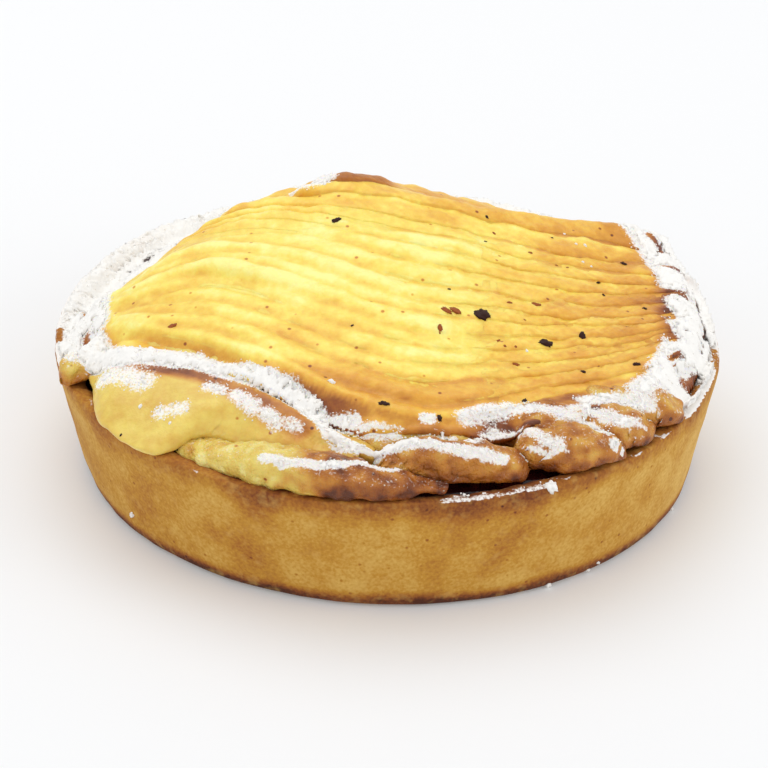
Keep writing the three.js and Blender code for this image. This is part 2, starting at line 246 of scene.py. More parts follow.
# Specks and stray lumps on top: place in plan and half length, in millimetres
BURNT_SPECKS = [
    (13.3, -12.8, 1.1), (22.5, -16.2, 1.0), (27.9, -13.2, 0.6), (35.6, -18.2, 0.6), (27.7, -22.4, 0.45),
    (35.2, 11.8, 0.5), (30.9, 3.6, 0.4), (37.7, -1.5, 0.35), (8.4, -7.5, 0.32), (-8.6, 5.8, 0.6),
    (-0.5, -36.3, 0.6), (7.2, -37.4, 0.45), (19.2, -30.6, 0.5), (-5.5, -19.2, 0.25), (-37.5, -34.4, 0.22),
    (14.1, 13.7, 0.3), (24.1, 12.8, 0.25), (31.6, 0.1, 0.3), (13.9, 7.1, 0.22),
]
RUST_SPECKS = [
    (8.0, -13.5, 0.7), (9.3, -13.2, 0.7), (7.1, -18.5, 0.5), (17.3, -8.1, 0.4), (21.2, -7.4, 0.6),
    (15.6, -17.8, 0.35), (18.1, -22.0, 0.5), (-31.5, -16.6, 0.6), (16.5, -19.0, 0.25), (18.1, -18.6, 0.25),
    (19.5, -12.0, 0.22), (26.3, 5.8, 0.3), (20.6, 6.4, 0.35), (24.6, 5.6, 0.25), (15.2, 10.4, 0.3),
]
# Sugar that slid under the left end of the fan: its middle and half size, in millimetres
SUGAR_UNDER = ((-41.3, -11.3, 20.6), (2.2, 1.8, 1.6))
SUGAR_LUMPS = [
    (23.0, -43.4, 0.85), (-8.0, -32.6, 0.45), (29.2, 12.9, 0.3), (28.7, 8.3, 0.25), (30.0, 8.0, 0.2),
    (27.8, 12.6, 0.2), (19.7, -18.8, 0.25), (26.1, 15.4, 0.2), (-35.0, -31.0, 0.3), (-30.5, -35.5, 0.25),
]
# Crumbs of sugar on the wall: direction in degrees, height and half length in millimetres
WALL_CRUMBS = [(-141, 4.3, 0.4), (-59, 0.5, 0.4), (-50, 0.6, 0.3), (-48, 1.4, 0.25), (-22, 0.6, 0.35)]

# Round the rim the sugar lies thick from the right front over the back to the left front: the directions, and
# the shares of the rim's radius where it starts. Then the same for what slid to the foot of a step, and the
# step's height
RING_START = math.radians(-34)
RING_END = math.radians(199)
RING_INSIDE = (0.80, 0.875)
FOOT_INSIDE = (0.70, 0.76)
FOOT_STEP = (0.5 * MM, 1.3 * MM)


def srgb(code):
    """An sRGB hex colour as the linear colour that a shader takes."""
    parts = [int(code[i:i + 2], 16) / 255 for i in (0, 2, 4)]
    return [*(p / 12.92 if p <= 0.04045 else ((p + 0.055) / 1.055) ** 2.4 for p in parts), 1.0]


def fill_inputs(tree, node, links):
    """Gives each named input its value, or links it to another node's socket."""
    for socket, value in links.items():
        if isinstance(value, bpy.types.NodeSocket):
            tree.links.new(value, node.inputs[socket])
        else:
            node.inputs[socket].default_value = value


def add_node(tree, kind, links=None, stops=None, **settings):
    """Adds a node with its settings. links holds a value or another node's socket for each input."""
    made = tree.nodes.new(kind)
    for name, value in settings.items():
        setattr(made, name, value)
    fill_inputs(tree, made, links or {})
    if stops:
        ramp = made.color_ramp.elements
        while len(ramp) < len(stops):
            ramp.new(1.0)
        for element, (place, code) in zip(ramp, stops):
            element.position = place
            element.color = srgb(code)
    return made


def link(name, data):
    """Puts an object with the given data into the scene."""
    made = bpy.data.objects.new(name, data)
    bpy.context.scene.collection.objects.link(made)
    return made


def plain_copy(carrier, name):
    """What the carrier's modifiers make of it, as a plain mesh object. The carrier is removed."""
    ready = carrier.evaluated_get(bpy.context.evaluated_depsgraph_get())
    made = link(name, bpy.data.meshes.new_from_object(ready))
    made.data.name = name
    bpy.data.objects.remove(carrier)
    return made


def smooth(value, start, end):
    """Eases from 0 at start to 1 at end, in either direction."""
    t = np.clip((value - start) / (end - start), 0, 1)
    return t * t * (3 - 2 * t)


def new_material(name):
    made = bpy.data.materials.new(name)
    made.use_nodes = True
    tree = made.node_tree
    return made, tree, tree.nodes["Principled BSDF"]


# CAMERA AND STUDIO


def camera():
    back = Vector((0, -math.cos(CAMERA_ELEVATION), math.sin(CAMERA_ELEVATION)))
    data = bpy.data.cameras.new("camera")
    data.lens = LENS_MM
    data.sensor_width = 36
    data.shift_x, data.shift_y = FRAME_SHIFT
    data.clip_start = 0.01
    seen = link("camera", data)
    level = Matrix.Rotation(math.pi / 2 - CAMERA_ELEVATION, 4, "X")
    place = Matrix.Translation(Vector((0, 0, LOOK_AT_HEIGHT)) + back * CAMERA_DISTANCE)
    seen.matrix_world = place @ level @ Matrix.Rotation(CAMERA_ROLL, 4, "Z")
    bpy.context.scene.camera = seen


def soft_light(name, place, aim, size, watts):
    data = bpy.data.lights.new(name, "AREA")
    data.shape = "DISK"
    data.size = size
    data.energy = watts
    lamp = link(name, data)
    lamp.location = place
    lamp.rotation_euler = (Vector(aim) - Vector(place)).to_track_quat("-Z", "Y").to_euler()


def studio():
    scene = bpy.context.scene
    scene.view_settings.view_transform = "Standard"
    world = bpy.data.worlds.new("studio")
    world.use_nodes = True
    air = world.node_tree.nodes["Background"]
    air.inputs["Color"].default_value = srgb("f9fbff")
    air.inputs["Strength"].default_value = 0.82
    scene.world = world
    soft_light("overhead", (-0.15, 0.25, 0.75), (0, 0, 0.02), 0.8, 2.15)
    soft_light("front_left", (-0.55, -0.6, 0.5), (0, 0, 0.01), 0.5, 0.75)
    soft_light("right_fill", (0.7, -0.25, 0.35), (0, 0, 0.01), 0.5, 1.1)


def floor():
    bm = bmesh.new()
    bmesh.ops.create_grid(bm, x_segments=1, y_segments=1, size=3.0)
    mesh = bpy.data.meshes.new("floor")
    bm.to_mesh(mesh)
    bm.free()
    card, tree, shader = new_material("white_card_lit_from_below")
    looks = {"Base Color": srgb("dadada"), "Roughness": 0.7}
    glow = {"Emission Color": srgb("fffef8"), "Emission Strength": CARD_GLOW}
    fill_inputs(tree, shader, {**looks, **glow})
    mesh.materials.append(card)
    link("floor", mesh)


# MATERIALS


def dusted(tree, place, colour):
    """Fine icing sugar over a colour, as thick as the dust attribute says: mixed colour and share."""
    dust = add_node(tree, "ShaderNodeAttribute", attribute_name="dust")
    powder = add_node(tree, "ShaderNodeTexNoise", {"Vector": place, "Scale": 1 / (0.4 * MM), "Detail": 3.0})
    both = add_node(
        tree, "ShaderNodeMath", {0: dust.outputs["Fac"], 1: powder.outputs["Fac"]}, operation="ADD"
    )
    share = add_node(tree, "ShaderNodeMapRange", {0: both.outputs[0], 1: 0.88, 2: 1.14, 3: 0.0, 4: 0.92})
    mixed = add_node(
        tree,
        "ShaderNodeMix",
        {0: share.outputs[0], 6: colour, 7: srgb(SUGAR_WHITE)},
        data_type="RGBA",
    )
    return mixed.outputs[2], share.outputs[0]


def shortcrust():
    """Shortcrust pastry, pressed into a tin and baked: matt and sandy, cloudy gold, with browner edges."""
    made, tree, shader = new_material("baked_shortcrust")
    place = add_node(tree, "ShaderNodeTexCoord").outputs["Object"]
    clouds, grain, flour = (
        add_node(tree, "ShaderNodeTexNoise", {"Vector": place, "Scale": 1 / size, "Detail": detail})
        for size, detail in ((6 * MM, 5.0), (0.5 * MM, 3.0), (1.6 * MM, 4.0))
    )
    crumbs = add_node(tree, "ShaderNodeTexVoronoi", {"Vector": place, "Scale": 1 / (2.4 * MM)})
    dots = add_node(
        tree, "ShaderNodeMapRange", {0: crumbs.outputs["Distance"], 1: 0.05, 2: 0.13, 3: 0.35, 4: 0.0}
    )
    baked = add_node(tree, "ShaderNodeAttribute", attribute_name="bake_and_painted_shade")
    mixed = add_node(
        tree, "ShaderNodeMath", {0: clouds.outputs["Fac"], 1: grain.outputs["Fac"]}, operation="ADD"
    )
    share = add_node(tree, "ShaderNodeMapRange", {0: mixed.outputs[0], 1: 0.72, 2: 1.3, 3: -0.16, 4: 0.17})
    depth = share.outputs[0]
    for more in (dots.outputs[0], baked.outputs["Fac"]):
        depth = add_node(tree, "ShaderNodeMath", {0: depth, 1: more}, operation="ADD").outputs[0]
    colour = add_node(
        tree,
        "ShaderNodeValToRGB",
        {"Fac": depth},
        stops=[(0.0, "d9b05c"), (0.3, "c08b30"), (0.55, "a66824"), (0.8, "7f441d"), (1.0, "522813")],
    )
    pale = add_node(tree, "ShaderNodeMapRange", {0: flour.outputs["Fac"], 1: 0.52, 2: 0.75, 3: 0.0, 4: 0.45})
    floury = add_node(
        tree,
        "ShaderNodeMix",
        {0: pale.outputs[0], 6: colour.outputs[0], 7: srgb("d4a95a")},
        data_type="RGBA",
    )
    bump = add_node(
        tree, "ShaderNodeBump", {"Height": grain.outputs["Fac"], "Strength": 0.4, "Distance": 0.18 * MM}
    )
    top, _ = dusted(tree, place, floury.outputs[2])
    looks = {"Base Color": top, "Normal": bump.outputs[0], "Roughness": 0.78, "Specular IOR Level": 0.3}
    fill_inputs(tree, shader, looks)
    return made


def baked_apple(name, stops, wrinkles, roughness):
    """Peeled apple, baked soft: moist, a little see-through, wrinkled, and browned where it stood proud."""
    made, tree, shader = new_material(name)
    place = add_node(tree, "ShaderNodeTexCoord").outputs["Object"]
    # The bake attribute holds browning and, on the fan, the end slice and the pulp, painted shade in creases,
    # steps and grooves
    baked = add_node(tree, "ShaderNodeAttribute", attribute_name="bake_and_painted_shade")
    blotch, fibre, pores = (
        add_node(tree, "ShaderNodeTexNoise", {"Vector": place, "Scale": 1 / size, "Detail": detail})
        for size, detail in ((7 * MM, 4.0), (1.4 * MM, 4.0), (0.55 * MM, 3.0))
    )
    mixed = add_node(
        tree, "ShaderNodeMath", {0: blotch.outputs["Fac"], 1: fibre.outputs["Fac"]}, operation="ADD"
    )
    share = add_node(tree, "ShaderNodeMapRange", {0: mixed.outputs[0], 1: 0.7, 2: 1.3, 3: -0.1, 4: 0.1})
    cells = add_node(tree, "ShaderNodeTexVoronoi", {"Vector": place, "Scale": 1 / (3.2 * MM)})
    dots = add_node(
        tree, "ShaderNodeMapRange", {0: cells.outputs["Distance"], 1: 0.05, 2: 0.11, 3: 0.5, 4: 0.0}
    )
    depth = share.outputs[0]
    for more in (dots.outputs[0], baked.outputs["Fac"]):
        depth = add_node(tree, "ShaderNodeMath", {0: depth, 1: more}, operation="ADD").outputs[0]
    colour = add_node(tree, "ShaderNodeValToRGB", {"Fac": depth}, stops=stops)
    relief = add_node(
        tree, "ShaderNodeMath", {0: fibre.outputs["Fac"], 1: pores.outputs["Fac"]}, operation="ADD"
    )
    bump = add_node(
        tree, "ShaderNodeBump", {"Height": relief.outputs[0], "Strength": 0.6, "Distance": wrinkles}
    )
    top, powder = dusted(tree, place, colour.outputs[0])
    rough = add_node(tree, "ShaderNodeMapRange", {0: powder, 1: 0.0, 2: 0.6, 3: roughness, 4: 0.9})
    looks = {
        "Base Color": top,
        "Roughness": rough.outputs[0],
        "Normal": bump.outputs[0],
        "Specular IOR Level": 0.4,
        "Subsurface Weight": 0.25,
        "Subsurface Radius": (1.0, 0.55, 0.15),
        "Subsurface Scale": 1.5 * MM,
    }
    fill_inputs(tree, shader, looks)
    return made


def jam():
    """Boiled red fruit jam: nearly black in depth, wet and glossy."""
    made, tree, shader = new_material("boiled_jam")
    place = add_node(tree, "ShaderNodeTexCoord").outputs["Object"]
    fruit = add_node(tree, "ShaderNodeTexNoise", {"Vector": place, "Scale": 1 / (3 * MM), "Detail": 3.0})
    colour = add_node(
        tree,
        "ShaderNodeValToRGB",
        {"Fac": fruit.outputs["Fac"]},
        stops=[(0.3, "1d0608"), (0.55, "320c0c"), (0.75, "5a1a12")],
    )
    bump = add_node(
        tree, "ShaderNodeBump", {"Height": fruit.outputs["Fac"], "Strength": 0.6, "Distance": 0.6 * MM}
    )
    looks = {"Base Color": colour.outputs[0], "Normal": bump.outputs[0], "Roughness": 0.18}
    fill_inputs(tree, shader, looks)
    return made


def icing_sugar():
    """Icing sugar, sifted on: a matt white powder that clumps."""
    made, tree, shader = new_material("sifted_icing_sugar")
    place = add_node(tree, "ShaderNodeTexCoord").outputs["Object"]
    clumps = add_node(tree, "ShaderNodeTexNoise", {"Vector": place, "Scale": 1 / (0.6 * MM), "Detail": 4.0})
    bump = add_node(
        tree, "ShaderNodeBump", {"Height": clumps.outputs["Fac"], "Strength": 0.5, "Distance": 0.25 * MM}
    )
    looks = {"Base Color": srgb(SUGAR_WHITE), "Roughness": 0.9, "Specular IOR Level": 0.2}
    fill_inputs(tree, shader, {**looks, "Normal": bump.outputs[0]})
    return made


def burnt_sugar(name, code):
    """Specks scorched in the oven: dark, rough and a little shiny."""
    made, tree, shader = new_material(name)
    place = add_node(tree, "ShaderNodeTexCoord").outputs["Object"]
    grit = add_node(tree, "ShaderNodeTexNoise", {"Vector": place, "Scale": 1 / (0.3 * MM), "Detail": 3.0})
    bump = add_node(
        tree, "ShaderNodeBump", {"Height": grit.outputs["Fac"], "Strength": 0.7, "Distance": 0.15 * MM}
    )
    looks = {"Base Color": srgb(code), "Roughness": 0.6, "Specular IOR Level": 0.25}
    fill_inputs(tree, shader, {**looks, "Normal": bump.outputs[0]})
    return made


# SMOOTH, UNEVEN COPIES OF THE SOLIDS


def smooth_copy(name, levels, sharpness=0.0):
    """A subdivided copy of a solid, as a plain mesh object, with its edges kept as sharp as asked."""
    bm = bmesh.new()
    bm.from_mesh(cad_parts[name].data)
    bmesh.ops.remove_doubles(bm, verts=bm.verts, dist=0.001 * MM)
    bmesh.ops.join_triangles(
        bm, faces=bm.faces, angle_face_threshold=math.pi, angle_shape_threshold=math.pi
    )
    crease = bm.edges.layers.float.new("crease_edge")
    for edge in bm.edges:
        if edge.calc_face_angle(0) > EDGE_ANGLE:
            edge[crease] = sharpness
    mesh = bpy.data.meshes.new(name + "_rough")
    bm.to_mesh(mesh)
    bm.free()
    rough = link(name + "_rough", mesh)
    divide = rough.modifiers.new("divide", "SUBSURF")
    divide.levels = divide.render_levels = levels
    made = plain_copy(rough, name + "_baked")
    made.data.shade_smooth()
    return made


def points_of(piece, what="co"):
    flat = np.empty(3 * len(piece.data.vertices))
    piece.data.vertices.foreach_get(what, flat)
    return flat.reshape(-1, 3)


def normals_of(piece):
    return points_of(piece, "normal")


def set_points(piece, points):
    piece.data.vertices.foreach_set("co", points.astype(np.float32).ravel())
    piece.data.update()


def set_share(piece, name, values):
    """Stores a number from 0 to 1 at each vertex, for the materials."""
    layer = piece.data.attributes.new(name, "FLOAT", "POINT")
    layer.data.foreach_set("value", np.clip(values, 0, 1).astype(np.float32))


def lumps(points, size, seed, stretch=(1, 1, 1)):
    """Soft noise from -1 to 1 at each point, with lumps of about the given size."""
    scaled = points / size * np.array(stretch) + seed * 17.3
    return np.array([noise.noise(p) for p in scaled])


def dress(piece, nodes, material):
    """Gives a piece its material and body, and hides the solids that it stands for, if any."""
    piece.data.materials.append(material)
    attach(piece, BODY)
    if nodes:
        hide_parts(*nodes)


def make_case(material):
    """The case: uneven, most of all at its rim, darker towards the foot, and browned at the rim and where
    juice ran.
    """
    case = smooth_copy("pastry_case", CASE_LEVELS, CASE_SHARPNESS)
    points = points_of(case)
    normals = normals_of(case)
    radius = np.hypot(points[:, 0] - RIM_CENTRE_X * points[:, 2] / CASE_HEIGHT, points[:, 1])
    height = points[:, 2] / CASE_HEIGHT
    rim = smooth(height, 0.86, 1.0)
    push = 0.1 * lumps(points, 3.4 * MM, 2) + 0.2 * lumps(points, 11 * MM, 3)
    push += rim * (0.25 * lumps(points, 2.2 * MM, 4) + 0.12 * lumps(points, 0.9 * MM, 5))
    push *= smooth(points[:, 2], 0, 0.8 * MM)
    set_points(case, points + normals * (push * MM)[:, None])
    patches = lumps(points, 14 * MM, 6)
    bake_and_painted_shade = 0.26 + 0.15 * patches + 0.13 * lumps(points, 4.5 * MM, 10)
    front = smooth(points[:, 1], -0.6 * RIM_RADIUS, -0.9 * RIM_RADIUS)
    juice = smooth(height + 0.1 * lumps(points, 6 * MM, 9, (1, 1, 0.6)), 0.74, 0.92) * front
    bake_and_painted_shade += juice * (0.12 + 0.06 * smooth(points[:, 0], -4 * MM, 12 * MM))
    paler_right = smooth(points[:, 0], 0.4 * RIM_RADIUS, 0.9 * RIM_RADIUS)
    foot = smooth(height + 0.03 * patches, 0.17, 0.04)
    top_edge = smooth(height + 0.07 * patches, 0.8, 0.98)
    inner_edge = smooth(radius, 0.99 * RIM_RADIUS, 0.93 * RIM_RADIUS) * smooth(height, 0.5, 0.9)
    bake_and_painted_shade += 0.75 * foot + 0.28 * top_edge + 0.12 * inner_edge - 0.08 * paler_right
    set_share(case, "bake_and_painted_shade", bake_and_painted_shade)
    dress(case, ["pastry_case"], material)
    return case


def make_jam(material):
    filling = smooth_copy("jam_filling", JAM_LEVELS)
    points = points_of(filling)
    push = 0.5 * lumps(points, 5 * MM, 7) + 0.2 * lumps(points, 2 * MM, 8)
    set_points(filling, points + normals_of(filling) * (push * MM)[:, None])
    dress(filling, ["jam_filling"], material)


def tree_of(points):
    tree = kdtree.KDTree(len(points))
    for i, p in enumerate(points):
        tree.insert(p, i)
    tree.balance()
    return tree


def distances(points, tree):
    return np.array([tree.find(p)[2] for p in points])


def largest(grid, reach):
    """Each cell takes the largest value within the reach, in cells, along both axes."""
    for axis in (0, 1):
        whole = grid
        for shift in range(1, reach + 1):
            grid = np.maximum(grid, np.maximum(np.roll(whole, shift, axis), np.roll(whole, -shift, axis)))
    return grid


def blurred(grid, rounds):
    for _ in range(rounds):
        for axis in (0, 1):
            grid = grid / 2 + (np.roll(grid, 1, axis) + np.roll(grid, -1, axis)) / 4
    return grid


def sample(grid, step, points):
    """The grid's value at each point's place in plan."""
    place = (points[:, :2] + PLAN_HALF) / step
    low = np.clip(place.astype(int), 0, len(grid) - 2)
    across, along = (place - low).T
    column, row = low.T
    near = grid[row, column] * (1 - across) + grid[row, column + 1] * across
    far = grid[row + 1, column] * (1 - across) + grid[row + 1, column + 1] * across
    return near * (1 - along) + far * along


def skin_over(pieces):
    """Heights of a soft skin over the fan, without the grooves between its slices."""
    size = int(2 * PLAN_HALF / SKIN_STEP)
    top = np.zeros((size, size))
    for piece in pieces:
        points = points_of(piece)
        column, row = np.round((points[:, :2] + PLAN_HALF) / SKIN_STEP).astype(int).T
        np.maximum.at(top, (row, column), points[:, 2])
    closed = -largest(-largest(top, SKIN_REACH), SKIN_REACH)
    there = (closed > 0).astype(float)
    return blurred(closed * there, SKIN_BLUR) / np.maximum(blurred(there, SKIN_BLUR), 0.001)


def level_fan(pieces):
    """Baking softened the slices into one another: each one's edge sinks most of the way into the skin."""
    skin = skin_over(pieces)
    for piece in pieces:
        points = points_of(piece)
        x, y, z = points.T / MM
        under = sample(skin, SKIN_STEP, points) / MM - z
        left_steps = smooth(y, 4, 11) * smooth(x, -7, -14)
        kept = 0.08 + 0.22 * smooth(x, 2, 38) - 0.06 * smooth(x, -2, -20) + 0.08 * smooth(y, 4, 20)
        kept += 0.92 * left_steps
        lift = under * (1 - kept) * (1 - smooth(np.abs(under), 3, 6.5))
        points[:, 2] += lift * MM
        set_points(piece, points)


def rest_edges(pieces):
    """The underside of each slice's front edge sinks into the slice that it lies on."""
    skin = skin_over(pieces)
    for piece in pieces:
        points = points_of(piece)
        under = sample(skin, SKIN_STEP, points) - points[:, 2]
        near = 1 - smooth(under, 1.5 * MM, 4 * MM)
        points[:, 2] -= EDGE_REST * near * smooth(normals_of(piece)[:, 2], 0.5, -0.2)
        set_points(piece, points)


def across_slice(pieces, trees, i):
    """How near each point lies to the slice behind and to the one in front, in millimetres."""
    points = points_of(pieces[i])
    behind = distances(points, trees[i - 1]) if i else np.full(len(points), 9 * MM)
    before = distances(points, trees[i + 1]) if i + 1 < len(trees) else np.full(len(points), 9 * MM)
    return behind / MM, before / MM


def own_row(points, i):
    """Each point's place along its slice, on a row of its own, so that no two slices wave alike."""
    count = len(points)
    return np.column_stack([points[:, 0], np.full(count, ROW_APART * i), np.zeros(count)])


def scallop_fan(pieces):
    """The front edge of each slice stands a little proud of the next one and is scalloped."""
    trees = [tree_of(points_of(piece)[::THINNED]) for piece in pieces]
    for i, piece in enumerate(pieces):
        behind, before = across_slice(pieces, trees, i)
        front = behind / (behind + before)
        points = points_of(piece)
        share = 0.1 + 0.9 * smooth(points[:, 0], -18 * MM, 12 * MM)
        row = own_row(points, i)
        wave = 0.6 * lumps(row, 7 * MM, 3) + 0.75 * lumps(row, 3.6 * MM, 4)
        points[:, 2] += (SHINGLE * (front - 0.5) + SCALLOP_RISE * wave * front) * share
        points[:, 1] -= SCALLOP * wave * smooth(front, 0.4, 0.9) * share
        set_points(piece, points)


def press_together(pieces):
    """The front slices lie against each other and the fan: each grows most of the way across a gap."""
    places = [points_of(piece) for piece in pieces]
    for i, piece in enumerate(pieces):
        others = tree_of(np.concatenate(places[:i] + places[i + 1:])[::2])
        nearest = np.array([others.find(p)[0] for p in places[i]])
        way = nearest - places[i]
        gap = np.maximum(np.linalg.norm(way, axis=1), 0.001 * MM)
        facing = (way * normals_of(piece)).sum(1) / gap
        share = PRESS_SHARE * smooth(facing, 0.1, 0.6) * smooth(gap, PRESS_REACH, 0.6 * PRESS_REACH)
        set_points(piece, places[i] + way * share[:, None])


def tuck_under(piece):
    """The left end of the first slid slice sinks back under the end slice, clear of the rim."""
    points = points_of(piece)
    share = smooth(points[:, 0], -11 * MM, -22 * MM)
    set_points(piece, points + share[:, None] * np.array(TUCK))


def soften(piece, rounds):
    """Rounds off the corners of a piece."""
    bm = bmesh.new()
    bm.from_mesh(piece.data)
    every_way = {"use_axis_x": True, "use_axis_y": True, "use_axis_z": True}
    for _ in range(rounds):
        bmesh.ops.smooth_vert(bm, verts=bm.verts, factor=0.5, **every_way)
    bm.to_mesh(piece.data)
    bm.free()


def knuckle(piece, seed, large, small):
    """Soft knuckles along a slice's edge, and fine wrinkles."""
    points = points_of(piece)
    push = large * lumps(points, 6.5 * MM, seed, (1, 0.5, 0.5)) + small * lumps(points, 2.6 * MM, seed + 1)
    push += 0.45 * small * lumps(points, 1.3 * MM, seed + 2)
    set_points(piece, points + normals_of(piece) * push[:, None])


def swell(piece, distance):
    set_points(piece, points_of(piece) + normals_of(piece) * distance)


def clouds_of(points, seed):
    """Cloudy patches of browning, drawn out along the slices."""
    return lumps(points, 9 * MM, seed, (0.5, 1, 1))


def mottle(points):
    """Cloudy and streaky browning, the same over the fan's slices and over the pulp on them."""
    streaks = lumps(points, 2.4 * MM, 95, (0.4, 1, 1))
    return 0.08 * clouds_of(points, 90) + 0.09 * streaks


def fan_bake_and_shade(points, i, behind, before, shade):
    """How far a slice of the fan is baked, with painted shade: darker along its front edge, partly browning
    and partly painted shade of the step there; darker in the creases, painted crease shade; browner at its
    right end.
    """
    x, y, z = points.T / MM
    right = smooth(x, 8, 38)
    rear = smooth(y, 2, 24) * smooth(x, -44, -10)
    apart = np.maximum(smooth(x, 2, 22), smooth(y, 4, 14))
    wave = lumps(own_row(points, i), 4.5 * MM, 5)
    # Each band darkens towards its front edge: partly browning of the proud edge, partly painted shade of the
    # step
    edge = smooth(behind / (behind + before) + 0.25 * wave, 0.3, 1)
    # Darker in the creases between slices: painted crease shade
    crease = np.exp(-np.minimum(behind, before) / 0.5)
    bake_and_painted_shade = 0.12 + 0.02 * shade * apart + mottle(points)
    bake_and_painted_shade += (0.02 + 0.09 * apart + 0.15 * right + 0.08 * rear * apart) * edge
    bake_and_painted_shade += 0.16 * crease * apart + 0.03 * right + 0.04 * rear
    right_tips = 0.1 * smooth(x, 33, 40) + 0.4 * smooth(x, 38.5, 42)
    left_side = 0.1 * smooth(x, -20, -42) + 0.1 * smooth(y, -4, -22) * smooth(x, 4, -12)
    front_edge = 0.12 * smooth(y, -14, -32) + 0.22 * smooth(y, -32, -37)
    bake_and_painted_shade += right_tips + left_side + front_edge
    if i == FAN.index(TALLEST) - 1:
        bake_and_painted_shade += REAR_BAKE * smooth(z - z.max(), -4.5, -1.5) * smooth(x, -18, -13) * smooth(x, 3, -3)
    if i == len(FAN) - 1:
        bake_and_painted_shade += 0.14 * smooth(x, -8, 8)
    return bake_and_painted_shade


def end_bake_and_shade(points):
    """How far the end slice is baked: browned along its upper edge, darker still under the sugar ridge, which
    is painted shade, and more towards its tail.
    """
    x = points[:, 0] / MM
    edge = 1 - smooth(to_path(*points.T[:2], END_EDGE), 0.5, 1.8 + 0.9 * smooth(x, -29, -20))
    # Browned along the upper edge; its extra darkening under the sugar ridge is painted shade
    browned = 0.46 + 0.22 * smooth(x, -38, -33) * smooth(x, -20, -27)
    streaks = lumps(points, 1.9 * MM, 121, (0.4, 1, 1))
    bake_and_painted_shade = 0.22 + 0.09 * clouds_of(points, 108) + 0.1 * streaks
    return bake_and_painted_shade + browned * edge + 0.12 * smooth(x, -24, -8)


def bake_slid(points, i):
    """How far a slid slice is baked: in dark streaks, more below, and hardly at the first one's left end."""
    x, _, z = points.T / MM
    below = smooth(z, 22.6, 20.2)
    streaks = lumps(points, 1.7 * MM, 139 + i)
    bake_and_painted_shade = SLID_BAKE[i] + 0.18 * clouds_of(points, 109 + i) + 0.3 * streaks + 0.24 * below
    if i == 0:
        bake_and_painted_shade -= (0.5 + 0.2 * below) * smooth(x, -7, -13.5)
    return bake_and_painted_shade


def make_slices(dry, moist, browned):
    """Every slice of apple, and the ridges of the fan before it was baked flat."""
    fan = [smooth_copy(name, SLICE_LEVELS, FAN_SHARPNESS) for name in FAN]
    end = smooth_copy(END, SLICE_LEVELS)
    slid = [smooth_copy(name, SLICE_LEVELS) for name in SLID]
    pieces = [*fan, end, *slid]
    for piece in pieces:
        swell(piece, SWELL)
    soften(end, END_SOFTENING)
    ridges = ridges_on(height_map(*sugar_grid()))
    level_fan(fan)
    scallop_fan(fan)
    rest_edges(fan)
    for piece in fan:
        knuckle(piece, FAN_SEED, *FAN_KNUCKLES)
    knuckle(end, END_SEED, *END_KNUCKLES)
    for i, piece in enumerate(slid):
        knuckle(piece, SLID_SEED + 3 * i, *SLID_KNUCKLES)
    press_together([fan[-1], end, *slid])
    tuck_under(slid[0])
    trees = [tree_of(points_of(piece)[::THINNED]) for piece in (*fan, end)]
    draw = np.random.default_rng(5)
    for i, piece in enumerate(fan):
        behind, before = across_slice(fan, trees, i)
        set_share(piece, "bake_and_painted_shade", fan_bake_and_shade(points_of(piece), i, behind, before, draw.normal()))
        dress(piece, [FAN[i]], dry)
    set_share(end, "bake_and_painted_shade", end_bake_and_shade(points_of(end)))
    dress(end, [END], moist)
    for i, piece in enumerate(slid):
        set_share(piece, "bake_and_painted_shade", bake_slid(points_of(piece), i))
        dress(piece, [SLID[i]], browned)
    return pieces, ridges


# PULP AND ICING SUGAR


def sugar_grid():
    steps = np.arange(-PLAN_HALF, PLAN_HALF, SUGAR_STEP)
    return np.meshgrid(steps, steps)


def grid_lumps(size, seed, stretch=(1, 1, 1)):
    """Soft noise from -1 to 1 at each cell of the sugar's grid."""
    across, along = sugar_grid()
    flat = np.column_stack([across.ravel(), along.ravel(), np.zeros(across.size)])
    return lumps(flat, size, seed, stretch).reshape(across.shape)


def height_map(across, along):
    """The tart's height under each cell of the sugar's grid, and 0 beside it."""
    graph = bpy.context.evaluated_depsgraph_get()
    cast = bpy.context.scene.ray_cast
    heights = [cast(graph, (x, y, ABOVE), DOWN)[1].z for x, y in zip(across.flat, along.flat)]
    return np.array(heights).reshape(across.shape)


def heaped(heights):
    """The heights with powder banked against every step, no steeper than it lies by itself."""
    around = [(dy, dx) for dy in (-1, 0, 1) for dx in (-1, 0, 1) if dy or dx]
    for _ in range(int(SUGAR_BANK / SUGAR_STEP)):
        banked = heights
        for dy, dx in around:
            fall = SUGAR_SLOPE * SUGAR_STEP * math.hypot(dy, dx)
            banked = np.maximum(banked, np.roll(heights, (dy, dx), (0, 1)) - fall)
        heights = banked
    return heights


def in_ring(across, along):
    """1 in the directions where the sugar lies thick round the rim, 0 at the front."""
    turn = np.mod(np.arctan2(along, across) - RING_START, 2 * math.pi)
    end = RING_END - RING_START
    return smooth(turn, 0, 0.2) * smooth(turn, end, end - 0.2)


def ridges_on(heights):
    """How far the slices' edges rise above the fan's general shape, and how far the grooves lie below it."""
    rise = heights - blurred(heights, RIDGE_BLUR)
    return blurred(rise * smooth(np.abs(rise), 2.2 * RIDGE_LIMIT, RIDGE_LIMIT), 2)


